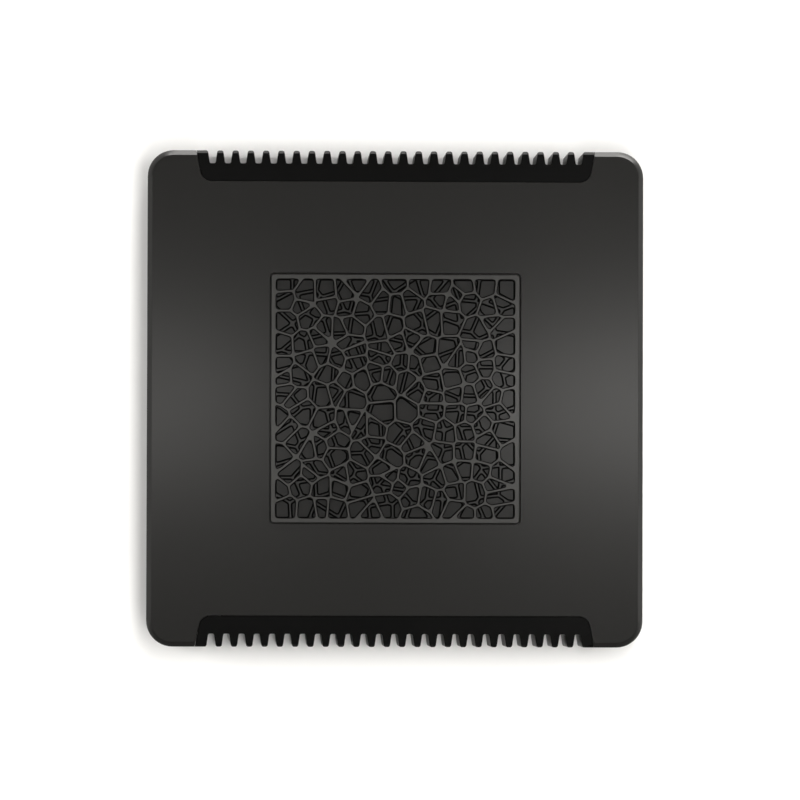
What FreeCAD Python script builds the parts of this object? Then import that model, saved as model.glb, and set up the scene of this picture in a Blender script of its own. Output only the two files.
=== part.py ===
import FreeCAD, Part
import math
import os
import random
import re

import Sketcher

# A fanless mesh wifi node. A square moulded case is closed at its front and rear by two black
# cast heatsinks, whose fins form a comb, and its lid carries a square two-layer lattice.
# X runs to the side with the sockets, Y to the rear and Z up. The origin is the middle of the
# footprint, on the surface that the rubber feet stand on. All sizes are in millimetres.

Vector = FreeCAD.Vector
doc = FreeCAD.newDocument("MeshNode")
sheet = doc.addObject("Spreadsheet::Sheet", "Sizes")
aliases = []
titles = []
nodes = []


# ---------------------------------------------------------------- sheet and expressions

def add_sizes(title, **values):
    """Write a titled group of driving sizes into the sheet, each with its own alias."""
    titles.append(title)
    sheet.set(f"A{len(aliases) + len(titles)}", title)
    for name, number in values.items():
        aliases.append(name)
        row = len(aliases) + len(titles)
        sheet.set(f"A{row}", name.replace("_", " "))
        sheet.set(f"B{row}", str(number))
        sheet.setAlias(f"B{row}", name)
    sheet.recompute()


def linked(expression):
    """The expression with each alias pointed at the sheet."""
    return re.sub(r"[a-z][a-z0-9_]*", lambda word: prefixed(word.group()), str(expression))


def prefixed(word):
    return "Sizes." + word if word in aliases else word


def value_of(expression):
    return float(sheet.evalExpression(linked(expression)))


def bind(item, **expressions):
    """Tie properties to the sheet. Two underscores stand for a dot, as in Placement__Base__x."""
    for name, expression in expressions.items():
        item.setExpression(name.replace("__", "."), linked(expression))


def keep(item):
    """Mark an object as a finished sub-part, whose Label names its file."""
    item.Label = item.Name
    nodes.append(item)
    return item


# ---------------------------------------------------------------- primitives and booleans

def block(name, x, y, underside, length, width, height):
    """Block centred on x and y, standing on the height given."""
    item = doc.addObject("Part::Box", name)
    bind(item, Length=length, Width=width, Height=height)
    bind(item, Placement__Base__x=f"({x}) - ({length}) / 2")
    bind(item, Placement__Base__y=f"({y}) - ({width}) / 2")
    bind(item, Placement__Base__z=underside)
    return item


def upright(name, x, y, underside, radius, height):
    """Round bar that stands on its end."""
    item = doc.addObject("Part::Cylinder", name)
    bind(item, Radius=radius, Height=height)
    bind(item, Placement__Base__x=x, Placement__Base__y=y, Placement__Base__z=underside)
    return item


def level(name, start_x, y, z, radius, length):
    """Round bar that lies along +X from its start."""
    item = doc.addObject("Part::Cylinder", name)
    item.Placement = FreeCAD.Placement(Vector(), FreeCAD.Rotation(Vector(0, 1, 0), 90))
    bind(item, Radius=radius, Height=length)
    bind(item, Placement__Base__x=start_x, Placement__Base__y=y, Placement__Base__z=z)
    return item


def taper(name, x, y, underside, low_radius, high_radius, height):
    """Upright cone with flat ends."""
    item = doc.addObject("Part::Cone", name)
    bind(item, Radius1=low_radius, Radius2=high_radius, Height=height)
    bind(item, Placement__Base__x=x, Placement__Base__y=y, Placement__Base__z=underside)
    return item


def joined(name, *pieces):
    item = doc.addObject("Part::MultiFuse", name)
    item.Shapes = list(pieces)
    return item


def group(name, pieces):
    """Like pieces that stay separate solids in one node."""
    item = doc.addObject("Part::Compound", name)
    item.Links = list(pieces)
    return item


def less(name, blank, *tools):
    """The blank with the tools cut out of it. The tools don't overlap each other."""
    item = doc.addObject("Part::Cut", name)
    item.Base = blank
    item.Tool = tools[0] if len(tools) == 1 else group(name + "_tools", tools)
    return item


# ---------------------------------------------------------------- bodies and sketches

def new_body(name):
    return keep(doc.addObject("PartDesign::Body", name))


def origin_plane(body, role):
    return [item for item in body.Origin.OriginFeatures if item.Role == role][0]


def outline(body, name, corners, offset, role="XY_Plane"):
    """Closed sketch through corners, each (across, up) or (across, up, rounding)."""
    sketch = body.newObject("Sketcher::SketchObject", body.Name + "_" + name)
    sketch.AttachmentSupport = [(origin_plane(body, role), "")]
    sketch.MapMode = "FlatFace"
    bind(sketch, AttachmentOffset__Base__z=offset)
    points = [Vector(value_of(corner[0]), value_of(corner[1]), 0) for corner in corners]
    count = len(points)
    for index, point in enumerate(points):
        sketch.addGeometry(Part.LineSegment(point, points[(index + 1) % count]), False)
    for index in range(count):
        sketch.addConstraint(Sketcher.Constraint("Coincident", index, 2, (index + 1) % count, 1))
    for index, corner in enumerate(corners):
        for kind, place, size in zip(("DistanceX", "DistanceY"), corner, points[index]):
            rule = sketch.addConstraint(Sketcher.Constraint(kind, -1, 1, index, 1, size))
            sketch.renameConstraint(rule, f"{kind}_{index}")
            bind(sketch, **{f"Constraints__{kind}_{index}": place})
    for index, corner in enumerate(corners):
        if len(corner) == 3:
            arc = sketch.GeometryCount
            radius = value_of(corner[2])
            sketch.fillet(index, 1, radius, True, True, False)
            rule = sketch.addConstraint(Sketcher.Constraint("Radius", arc, radius))
            sketch.renameConstraint(rule, f"Rounding_{index}")
            bind(sketch, **{f"Constraints__Rounding_{index}": corner[2]})
    return sketch


def oblong(body, name, x, y, length, width, offset, rounding=None):
    """Sketched oblong centred on x and y, with its corners rounded if that is asked."""
    ends = [("-", "-"), ("+", "-"), ("+", "+"), ("-", "+")]
    corners = []
    for sign_x, sign_y in ends:
        corner = (f"({x}) {sign_x} ({length}) / 2", f"({y}) {sign_y} ({width}) / 2")
        corners.append(corner if rounding is None else corner + (rounding,))
    return outline(body, name, corners, offset)


def circles(body, name, places, radius, offset, role="XY_Plane"):
    """Sketched circles of one radius, each centred on an (across, up) place."""
    sketch = body.newObject("Sketcher::SketchObject", body.Name + "_" + name)
    sketch.AttachmentSupport = [(origin_plane(body, role), "")]
    sketch.MapMode = "FlatFace"
    bind(sketch, AttachmentOffset__Base__z=offset)
    for index, place in enumerate(places):
        centre = Vector(value_of(place[0]), value_of(place[1]), 0)
        sketch.addGeometry(Part.Circle(centre, Vector(0, 0, 1), value_of(radius)), False)
        for kind, side, size in zip(("DistanceX", "DistanceY"), place, centre):
            rule = sketch.addConstraint(Sketcher.Constraint(kind, -1, 1, index, 3, size))
            sketch.renameConstraint(rule, f"{kind}_{index}")
            bind(sketch, **{f"Constraints__{kind}_{index}": side})
        rule = sketch.addConstraint(Sketcher.Constraint("Radius", index, value_of(radius)))
        sketch.renameConstraint(rule, f"Radius_{index}")
        bind(sketch, **{f"Constraints__Radius_{index}": radius})
    return sketch


def pad(body, sketch, height):
    """Grow the sketch along its normal."""
    item = body.newObject("PartDesign::Pad", sketch.Name + "_pad")
    item.Profile = sketch
    item.Refine = False
    bind(item, Length=height)
    return item


def pocket(body, sketch, depth):
    """Cut the sketch down against its normal, so the sketch lies at the cut's near end."""
    item = body.newObject("PartDesign::Pocket", sketch.Name + "_cut")
    item.Profile = sketch
    item.Refine = False
    bind(item, Length=depth)
    return item


def row_of(body, feature, sketch, count, pitch):
    """Repeat a cut along X."""
    item = body.newObject("PartDesign::LinearPattern", sketch.Name + "_row")
    item.Originals = [feature]
    item.Direction = (sketch, ["H_Axis"])
    item.Refine = False
    bind(item, Length=f"({count} - 1) * {pitch}", Occurrences=count)
    body.Tip = item


def bevel(body, feature, z, size):
    """Chamfer every edge of the feature that lies at one height."""
    feature.recompute(True)
    height = value_of(z)
    names = []
    for index, edge in enumerate(feature.Shape.Edges):
        if max(abs(vertex.Z - height) for vertex in edge.Vertexes) < 0.001:
            names.append(f"Edge{index + 1}")
    item = body.newObject("PartDesign::Chamfer", feature.Name + "_bevel")
    item.Base = (feature, names)
    item.Refine = False
    bind(item, Size=size)
    return item


# ---------------------------------------------------------------- driving sizes of the whole

add_sizes("Case", case_side=200, case_height=38, corner_radius=10.5, edge_chamfer=2,
          wall=2.2, plate=2.2, skirt_bottom=6)
add_sizes("Base", foot_drop=1.5, floor=2, lip_wall=1.8, lip_gap=0.15, lip_top=9)
add_sizes("Notches for the fins, front and rear", notch_half=80.5, notch_depth=12.6,
          notch_slant=2.4, notch_rounding=4.8, notch_gap=0.12, seat_gap=0.2)
add_sizes("Fins", fin_pitch=6.155, fin_gaps=25, gap_mouth=3.85, gap_root=2.3, gap_depth=5.25,
          tip_rounding=0.9, root_rounding=0.7, comb_drop=1.1, comb_chamfer=1.1, fin_bottom=2.5,
          sink_wall=4)
add_sizes("Board", board_under=10.4, board_thick=1.6, board_length=184, board_width=158)
add_sizes("Fasteners", shank=1.5, shank_gap=0.05, loose_gap=0.2, recess_gap=0.1,
          small_shank=1.3, corner_screw=89,
          sink_screw_y=86.4, sink_screw_x=60, spread_screw_y=85, spread_left=-60,
          spread_right=30, board_screw_y=74, board_screw_left=-86, board_screw_right=80,
          overcut=1)

FLOOR_TOP = "foot_drop + floor"
BOARD_TOP = "board_under + board_thick"
PLATE_UNDER = "case_height - plate"
SKIRT_INSIDE = "case_side / 2 - wall"
NOTCH_Y = "case_side / 2 - notch_depth"
ROOT_Y = "case_side / 2 - gap_depth"
BOARD_SCREWS = [(x, y) for x in ("board_screw_left", "0", "board_screw_right")
                for y in ("board_screw_y", "-board_screw_y")]
SINK_SCREW_X = ("-sink_screw_x", "0", "sink_screw_x")
SINK_SCREWS = [(x, y) for x in SINK_SCREW_X for y in ("sink_screw_y", "-sink_screw_y")]
SPREAD_SCREWS = [(x, y) for x in ("spread_left", "spread_right")
                 for y in ("spread_screw_y", "-spread_screw_y")]
CORNERS = [(x, y) for x in ("corner_screw", "-corner_screw")
           for y in ("corner_screw", "-corner_screw")]


def notch_corners(side, inner_y, inset, past):
    """Slanted notch outline at the rear (side 1) or front (side -1), past the case's edge."""
    slant = f"notch_slant / notch_depth * (case_side / 2 - ({inner_y}))"
    inner_x = f"notch_half - ({inset}) - {slant}"
    outer_x = f"notch_half - ({inset}) + notch_slant / notch_depth * ({past})"
    outer_y = f"{side} * (case_side / 2 + ({past}))"
    low_y = f"{side} * ({inner_y})"
    return [(f"-({outer_x})", outer_y), (f"-({inner_x})", low_y, "notch_rounding"),
            (inner_x, low_y, "notch_rounding"), (outer_x, outer_y)]


# ---------------------------------------------------------------- case

def make_top_cover():
    """Moulded lid with skirts, a well for the lattice and the openings of both sides."""
    add_sizes("Cover", well_side=101.4, well_rounding=2.2, well_floor=2, well_depth=3.8,
              well_rim=3, post_radius=3.5, post_bottom=6.2, post_hole_depth=10,
              opening_half=76, opening_top=31.5, opening_rounding=3, side_cut=12,
              pair_y=-30, side_z=20, pair_hole=4.2, pipe_y=-14, pipe_radius=1.5)
    body = new_body("top_cover")
    plan = oblong(body, "plan", "0", "0", "case_side", "case_side", "skirt_bottom",
                  "corner_radius")
    blank = pad(body, plan, "case_height - skirt_bottom")
    bevel(body, blank, "case_height", "edge_chamfer")
    inside = oblong(body, "inside", "0", "0", "case_side - 2 * wall", "case_side - 2 * wall",
                    PLATE_UNDER, "corner_radius - wall")
    pocket(body, inside, f"{PLATE_UNDER} - skirt_bottom")
    well_bottom = "case_height - well_depth - well_floor"
    rim = oblong(body, "well_rim", "0", "0", "well_side + 2 * well_rim",
                 "well_side + 2 * well_rim", well_bottom, "well_rounding + well_rim")
    pad(body, rim, "well_depth + well_floor - plate / 2")
    well = oblong(body, "well", "0", "0", "well_side", "well_side", "case_height",
                  "well_rounding")
    pocket(body, well, "well_depth")
    for side in (1, -1):
        notch = outline(body, "notch_rear" if side == 1 else "notch_front",
                        notch_corners(side, NOTCH_Y, "0", "1"), "case_height")
        pocket(body, notch, "case_height")
    posts = circles(body, "posts", CORNERS, "post_radius", "post_bottom")
    pad(body, posts, "case_height - plate / 2 - post_bottom")
    holes = circles(body, "post_holes", CORNERS, "shank + shank_gap",
                    "post_bottom + post_hole_depth")
    pocket(body, holes, "post_hole_depth")
    opening = outline(body, "socket_opening",
                      [("-opening_half", "skirt_bottom - 1"), ("opening_half", "skirt_bottom - 1"),
                       ("opening_half", "opening_top", "opening_rounding"),
                       ("-opening_half", "opening_top", "opening_rounding")],
                      "case_side / 2 + 1", "YZ_Plane")
    pocket(body, opening, "side_cut / 2")
    left_plane = "side_cut / 2 - case_side / 2"
    pair = circles(body, "pair_hole", [("pair_y", "side_z")], "pair_hole", left_plane, "YZ_Plane")
    pocket(body, pair, "side_cut")
    pipe = circles(body, "pipe_hole", [("pipe_y", "side_z")], "pipe_radius + shank_gap",
                   left_plane, "YZ_Plane")
    pocket(body, pipe, "side_cut")


def make_base_tray():
    """Moulded tray with a locating lip, board posts, vents, keyholes and screw holes."""
    add_sizes("Tray", standoff=3.5, boss=4.6, head_recess=3.1, head_depth=2.2, vent_count=11,
              vent_pitch=12, vent_width=3, vent_length=34, vent_y=33, keyhole_x=66,
              keyhole_head=4.5, keyhole_neck=2.2, keyhole_run=8, foot_place=70, foot_radius=7,
              foot_recess=0.8, sink_head=2.9, sink_head_depth=1.4, panel_half=79,
              panel_slot_in=3, panel_slot=8, panel_slot_gap=0.3, end_flat=0.01)
    body = new_body("base_tray")
    plan = oblong(body, "plan", "0", "0", "case_side", "case_side", "foot_drop", "corner_radius")
    blank = pad(body, plan, "skirt_bottom - foot_drop")
    bevel(body, blank, "foot_drop", "edge_chamfer")
    lip_side = "case_side - 2 * wall - 2 * lip_gap"
    lip = oblong(body, "lip", "0", "0", lip_side, lip_side, "skirt_bottom - 1",
                 "corner_radius - wall - lip_gap")
    pad(body, lip, "lip_top - skirt_bottom + 1")
    inside = oblong(body, "inside", "0", "0", f"{lip_side} - 2 * lip_wall",
                    f"{lip_side} - 2 * lip_wall", "lip_top", "corner_radius - wall - lip_wall")
    pocket(body, inside, f"lip_top - ({FLOOR_TOP})")
    for side in (1, -1):
        notch = outline(body, "notch_rear" if side == 1 else "notch_front",
                        [corner[:2] for corner in
                         notch_corners(side, f"{ROOT_Y} - seat_gap", "0", "1")], "lip_top")
        pocket(body, notch, "lip_top")
    panel_gap = oblong(body, "panel_gap", "case_side / 2 - wall - panel_slot_in", "0",
                       "panel_slot", "2 * panel_half + 2 * panel_slot_gap", "lip_top")
    pocket(body, panel_gap, "lip_top - skirt_bottom")
    bosses = circles(body, "bosses", CORNERS, "boss", FLOOR_TOP)
    pad(body, bosses, f"skirt_bottom - ({FLOOR_TOP})")
    standoffs = circles(body, "standoffs", BOARD_SCREWS, "standoff", FLOOR_TOP)
    pad(body, standoffs, f"board_under - ({FLOOR_TOP})")
    feet = [(x, y) for x in ("foot_place", "-foot_place") for y in ("foot_place", "-foot_place")]
    keyholes = [("-keyhole_x", "0"), ("keyhole_x", "0")]
    cuts = (("cover_holes", CORNERS, "shank + loose_gap", "skirt_bottom", "skirt_bottom"),
            ("head_recesses", CORNERS, "head_recess", "foot_drop + head_depth", "head_depth"),
            ("standoff_holes", BOARD_SCREWS, "small_shank + shank_gap", "board_under",
             "board_under - foot_drop - floor"),
            ("foot_recesses", feet, "foot_radius + recess_gap", "foot_drop + foot_recess",
             "foot_recess"),
            ("sink_holes", SINK_SCREWS, "shank + recess_gap", FLOOR_TOP, "floor"),
            ("sink_recesses", SINK_SCREWS, "sink_head + recess_gap", "foot_drop + sink_head_depth",
             "sink_head_depth"),
            ("keyhole_heads", keyholes, "keyhole_head", FLOOR_TOP, "floor"))
    for name, places, radius, top, depth in cuts:
        pocket(body, circles(body, name, places, radius, top), depth)
    for index, (x, y) in enumerate(keyholes):
        neck = oblong(body, f"keyhole_neck_{index}", x, "keyhole_run / 2", "2 * keyhole_neck",
                      "keyhole_run + 2 * keyhole_neck", FLOOR_TOP, "keyhole_neck - end_flat")
        pocket(body, neck, "floor")
    for side in (1, -1):
        vent = oblong(body, "vent_rear" if side == 1 else "vent_front",
                      "-(vent_count - 1) / 2 * vent_pitch", f"{side} * vent_y", "vent_width",
                      "vent_length", FLOOR_TOP, "vent_width / 2 - end_flat")
        row_of(body, pocket(body, vent, "floor"), vent, "vent_count", "vent_pitch")


def make_heatsink(name, turn):
    """Cast comb with a strip under the lid, a ledge for the heat spreader and a foot flange."""
    body = new_body(name)
    strip = outline(body, "strip", notch_corners(1, f"{NOTCH_Y} + notch_gap", "notch_gap", "0"),
                    "strip_under")
    pad(body, strip, "case_height - comb_drop - strip_under")
    back_y = "case_side / 2 - gap_depth - sink_wall"
    back = oblong(body, "back", "0", f"{ROOT_Y} - sink_wall / 2", "2 * back_half", "sink_wall",
                  FLOOR_TOP)
    pad(body, back, f"strip_under + 1 - ({FLOOR_TOP})")
    fins = outline(body, "fins", [corner[:2] for corner in
                                  notch_corners(1, ROOT_Y, "notch_gap", "0")], "fin_bottom")
    pad(body, fins, "strip_under + 1 - fin_bottom")
    shelves = (("under_lid", "tuck_y", f"{NOTCH_Y} + 1", "tuck_half", "strip_under", "tuck_top"),
               ("ledge", "ledge_y", f"{back_y} + 1", "flange_half", "ledge_under", "ledge_top"),
               ("foot", "ledge_y", f"{back_y} + 1", "flange_half", FLOOR_TOP, "flange_top"))
    for shelf_name, near, far, half, low, high in shelves:
        shelf = oblong(body, shelf_name, "0", f"(({near}) + ({far})) / 2", f"2 * {half}",
                       f"({far}) - ({near})", low)
        pad(body, shelf, f"({high}) - ({low})")
    tip_y = "case_side / 2"
    first_x = "-(fin_gaps - 1) / 2 * fin_pitch"
    comb_top = "case_height - comb_drop"
    crest = outline(body, "crest",
                    [(f"{tip_y} - comb_chamfer - 0.5", f"{comb_top} + 0.5"),
                     (f"{tip_y} + 0.5", f"{comb_top} - comb_chamfer - 0.5"),
                     (f"{tip_y} + 0.5", f"{comb_top} + 0.5")], "case_side / 2", "YZ_Plane")
    pocket(body, crest, "case_side")
    foot_holes = [(x, "sink_screw_y") for x in SINK_SCREW_X]
    pocket(body, circles(body, "foot_holes", foot_holes, "shank + shank_gap", "flange_top"),
           f"flange_top - ({FLOOR_TOP})")
    ledge_holes = [(x, "spread_screw_y") for x in spreader_columns(turn)]
    pocket(body, circles(body, "ledge_holes", ledge_holes, "shank + shank_gap", "ledge_top"),
           "ledge_top - ledge_under")
    gap = outline(body, "gap",
                  [(f"{first_x} - gap_mouth / 2 - tip_rounding", f"{tip_y} + 0.5"),
                   (f"{first_x} - gap_mouth / 2 - tip_rounding", tip_y),
                   (f"{first_x} - gap_mouth / 2", tip_y, "tip_rounding"),
                   (f"{first_x} - gap_root / 2", ROOT_Y, "root_rounding"),
                   (f"{first_x} + gap_root / 2", ROOT_Y, "root_rounding"),
                   (f"{first_x} + gap_mouth / 2", tip_y, "tip_rounding"),
                   (f"{first_x} + gap_mouth / 2 + tip_rounding", tip_y),
                   (f"{first_x} + gap_mouth / 2 + tip_rounding", f"{tip_y} + 0.5")],
                  "case_height")
    row_of(body, pocket(body, gap, "case_height"), gap, "fin_gaps", "fin_pitch")
    body.Placement = FreeCAD.Placement(Vector(), FreeCAD.Rotation(Vector(0, 0, 1), turn))


def spreader_columns(turn):
    """Places of the spreader screws along the heatsink, which swap sign when it is turned."""
    sign = "-1 * " if turn else ""
    return [sign + "spread_left", sign + "spread_right"]


def make_heatsinks():
    add_sizes("Heatsinks", strip_under=33, back_half=78, tuck_y=80, tuck_half=70, tuck_top=35.5,
              ledge_y=82, flange_half=75, ledge_under=12.5, ledge_top=16, flange_top=7.5)
    make_heatsink("rear_heatsink", 0)
    make_heatsink("front_heatsink", 180)


def make_feet():
    """Four stuck-on rubber feet, each with a bevelled rim."""
    add_sizes("Feet", foot_bevel=0.6)
    places = {"rear_right": ("", ""), "front_right": ("", "-"),
              "rear_left": ("-", ""), "front_left": ("-", "-")}
    for name, (sign_x, sign_y) in places.items():
        x, y = sign_x + "foot_place", sign_y + "foot_place"
        rim = taper(name + "_foot_rim", x, y, "0", "foot_radius - foot_bevel", "foot_radius",
                    "foot_bevel")
        disc = upright(name + "_foot_disc", x, y, "foot_bevel", "foot_radius",
                       "foot_drop + foot_recess - foot_bevel")
        keep(joined(name + "_foot", rim, disc))


def make_rating_label():
    """Blank label stuck to the underside."""
    add_sizes("Label", label_length=62, label_width=17.6, label_thick=0.15)
    keep(block("rating_label", "0", "0", "foot_drop - label_thick", "label_length",
               "label_width", "label_thick"))


# ---------------------------------------------------------------- lattice in the lid

def clipped(corners, normal, limit):
    """The part of a convex outline whose distance along a unit normal stays within a limit."""
    result = []
    for index, corner in enumerate(corners):
        following = corners[(index + 1) % len(corners)]
        depth = corner[0] * normal[0] + corner[1] * normal[1] - limit
        next_depth = following[0] * normal[0] + following[1] * normal[1] - limit
        if depth <= 0:
            result.append(corner)
        if (depth < 0) != (next_depth < 0) and depth != next_depth:
            share = depth / (depth - next_depth)
            result.append((corner[0] + (following[0] - corner[0]) * share,
                           corner[1] + (following[1] - corner[1]) * share))
    return result


def scattered(seed, across, half, fixed):
    """Seed points of a net: a shuffled grid that leaves room round the fixed points."""
    dice = random.Random(seed)
    pitch = 2 * half / across
    points = list(fixed)
    for row in range(across):
        for column in range(across):
            x = (column + 0.5 + dice.uniform(-0.46, 0.46)) * pitch - half
            y = (row + 0.5 + dice.uniform(-0.46, 0.46)) * pitch - half
            if all(math.hypot(x - px, y - py) > pitch for px, py in fixed):
                points.append((x, y))
    return points


def net_cells(points, half, rib):
    """Open cells of a net of ribs of one width: each holds what is nearest to its point."""
    reach = half / 2
    cells = []
    for x, y in points:
        cell = [(-half, -half), (half, -half), (half, half), (-half, half)]
        for other_x, other_y in points:
            gap = math.hypot(other_x - x, other_y - y)
            if 0 < gap < reach:
                normal = ((other_x - x) / gap, (other_y - y) / gap)
                middle = normal[0] * (x + other_x) / 2 + normal[1] * (y + other_y) / 2
                cell = clipped(cell, normal, middle - rib / 2)
        cell = thinned(cell, rib / 2)
        if len(cell) > 2:
            cells.append(cell)
    return cells


def thinned(cell, least):
    """The outline without corners that crowd the corner before them."""
    result = []
    for corner in cell:
        if not result or math.dist(corner, result[-1]) > least:
            result.append(corner)
    while len(result) > 2 and math.dist(result[0], result[-1]) <= least:
        result.pop()
    return result


def prism(corners, z, height):
    """Upright solid over a flat outline."""
    points = [Vector(x, y, z) for x, y in corners]
    return Part.Face(Part.makePolygon(points + points[:1])).extrude(Vector(0, 0, height))


def make_lattice():
    """Two mouldings, one above the other: a plate with a fine net, under a coarser open net."""
    add_sizes("Lattice", insert_side=100, insert_rounding=1.5, insert_top=37.8, adhesive=0.2,
              adhesive_inset=3, plate_thick=1.2, net_height=0.9, frame=1.7, upper_rib=0.85,
              lower_rib=0.65, net_across=13)
    glue_under = "case_height - well_depth"
    glue_side = "insert_side - 2 * adhesive_inset"
    keep(block("insert_adhesive", "0", "0", glue_under, glue_side, glue_side, "adhesive"))
    plate_z = value_of(f"{glue_under} + adhesive")
    plate_top = plate_z + value_of("plate_thick")
    net_top = plate_top + value_of("net_height")
    top = value_of("insert_top")
    half = value_of("insert_side / 2 - frame")
    side = value_of("insert_side")
    rounding = value_of("insert_rounding")
    across = int(value_of("net_across"))
    large_cells = [(-5.0, -5.2), (4.9, -5.0)]
    levels = (("lattice_backplate", 3, "lower_rib", plate_z, plate_top, net_top),
              ("lattice_grille", 11, "upper_rib", net_top, net_top, top))
    for name, seed, rib, underside, cut_from, ceiling in levels:
        blank = Part.makeBox(side, side, ceiling - underside, Vector(-side / 2, -side / 2, underside))
        upright_edges = [edge for edge in blank.Edges
                         if abs(edge.Vertexes[0].Z - edge.Vertexes[-1].Z) > 0.1]
        blank = blank.makeFillet(rounding, upright_edges)
        cells = net_cells(scattered(seed, across, half, large_cells), half, value_of(rib))
        tools = [prism(cell, cut_from, ceiling - cut_from) for cell in cells]
        item = doc.addObject("Part::Feature", name)
        item.Shape = blank.cut(Part.makeCompound(tools))
        item.Placement = FreeCAD.Placement()
        keep(item)


# ---------------------------------------------------------------- board and cooling

def make_main_board():
    """Circuit board with clearance holes over the tray's posts."""
    blank = block("board_blank", "0", "0", "board_under", "board_length", "board_width",
                  "board_thick")
    holes = [upright(f"board_hole_{index}", x, y, "board_under - overcut",
                     "small_shank + loose_gap", "board_thick + 2 * overcut")
             for index, (x, y) in enumerate(BOARD_SCREWS)]
    keep(less("main_board", blank, *holes))


def make_can(name, x, y, length, width):
    """Pressed shield can, open below."""
    shell = block(name + "_shell", x, y, BOARD_TOP, length, width, "can_height")
    room = block(name + "_room", x, y, f"{BOARD_TOP} - overcut", f"{length} - 2 * can_wall",
                 f"{width} - 2 * can_wall", "can_height + overcut - can_wall")
    keep(less(name, shell, room))


def make_chips():
    """Processor, memory and radio chips, the cans over them and the pads on the cans."""
    add_sizes("Chips", chip_thick=1.2, can_height=3, can_wall=0.3, cpu_x=-30, cpu_shift=6,
              can_length=44, can_width=40, chip_side=18, memory_shift=14, memory_y=9,
              memory_length=10, memory_width=12, radio_x=-52, radio_y=48, radio_length=34,
              radio_width=28, radio_side=12, third_x=8, pad_length=36, pad_width=32,
              small_pad_length=28, small_pad_width=22)
    keep(block("processor_chip", "cpu_x - cpu_shift", "0", BOARD_TOP, "chip_side", "chip_side",
               "chip_thick"))
    keep(group("memory_chips", [block(f"memory_{index}", "cpu_x + memory_shift", y, BOARD_TOP,
                                      "memory_length", "memory_width", "chip_thick")
                                for index, y in enumerate(("memory_y", "-memory_y"))]))
    radios = (("radio_x", "radio_y"), ("radio_x", "-radio_y"), ("third_x", "radio_y"))
    keep(group("radio_chips", [block(f"radio_{index}", x, y, BOARD_TOP, "radio_side",
                                     "radio_side", "chip_thick")
                               for index, (x, y) in enumerate(radios)]))
    make_can("processor_can", "cpu_x", "0", "can_length", "can_width")
    for name, (x, y) in zip(("rear_radio_can", "front_radio_can", "third_radio_can"), radios):
        make_can(name, x, y, "radio_length", "radio_width")
    can_top = f"{BOARD_TOP} + can_height"
    pads = [block("processor_pad", "cpu_x", "0", can_top, "pad_length", "pad_width",
                  f"ledge_top - ({can_top})")]
    for index, (x, y) in enumerate(radios):
        pads.append(block(f"radio_pad_{index}", x, y, can_top, "small_pad_length",
                          "small_pad_width", f"ledge_top - ({can_top})"))
    keep(group("thermal_pads", pads))


def make_heat_spreader():
    """Aluminium plate that bridges the two heatsinks over the cans."""
    add_sizes("Heat spreader", spread_thick=2.5, spread_x=-15, spread_length=120, spread_half=88)
    plate = block("spreader_plate", "spread_x", "0", "ledge_top", "spread_length",
                  "2 * spread_half", "spread_thick")
    holes = [upright(f"spreader_hole_{index}", x, y, "ledge_top - overcut", "shank + loose_gap",
                     "spread_thick + 2 * overcut") for index, (x, y) in enumerate(SPREAD_SCREWS)]
    keep(less("heat_spreader", plate, *holes))


def screw(name, x, y, shank_bottom, shank_top, head_radius, head_height, radius, drive_up):
    """Pan-head screw with a square-cut drive recess, head up or head down."""
    stem = upright(name + "_stem", x, y, shank_bottom, radius,
                   f"({shank_top}) - ({shank_bottom})")
    head_under = shank_top if drive_up else f"({shank_bottom}) - ({head_height})"
    head = upright(name + "_head", x, y, head_under, head_radius, head_height)
    drive_under = (f"({shank_top}) + ({head_height}) / 2" if drive_up
                   else f"({shank_bottom}) - ({head_height})")
    drives = [block(f"{name}_drive_{index}", x, y, drive_under, length, width,
                    f"({head_height}) / 2")
              for index, (length, width) in enumerate((("drive_long", "drive_wide"),
                                                       ("drive_wide", "drive_long")))]
    return less(name, joined(name + "_whole", stem, head), joined(name + "_drive", *drives))


def make_screws():
    add_sizes("Screws", drive_long=3, drive_wide=0.8, pan_radius=2.9, pan_height=1.9,
              small_pan=2.6, small_pan_height=1.6, screw_reach=9, small_reach=5.5, end_gap=0.4,
              drive_depth=0.7)
    keep(group("cover_screws", [
        screw(f"cover_screw_{index}", x, y, "foot_drop + head_depth",
              "post_bottom + screw_reach", "pan_radius", "pan_height", "shank", False)
        for index, (x, y) in enumerate(CORNERS)]))
    keep(group("board_screws", [
        screw(f"board_screw_{index}", x, y, "board_under - small_reach", BOARD_TOP, "small_pan",
              "small_pan_height", "small_shank", True)
        for index, (x, y) in enumerate(BOARD_SCREWS)]))
    keep(group("spreader_screws", [
        screw(f"spreader_screw_{index}", x, y, "ledge_under + end_gap",
              "ledge_top + spread_thick", "pan_radius", "pan_height", "shank", True)
        for index, (x, y) in enumerate(SPREAD_SCREWS)]))
    flats = []
    for index, (x, y) in enumerate(SINK_SCREWS):
        head = upright(f"sink_head_{index}", x, y, "foot_drop", "sink_head",
                       "sink_head_depth - recess_gap")
        stem = upright(f"sink_stem_{index}", x, y, "foot_drop", "shank",
                       "flange_top - foot_drop - end_gap")
        drive = block(f"sink_drive_{index}", x, y, "foot_drop", "drive_long", "drive_wide",
                      "drive_depth")
        flats.append(less(f"heatsink_screw_{index}", joined(f"sink_whole_{index}", head, stem),
                          drive))
    keep(group("heatsink_screws", flats))


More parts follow.
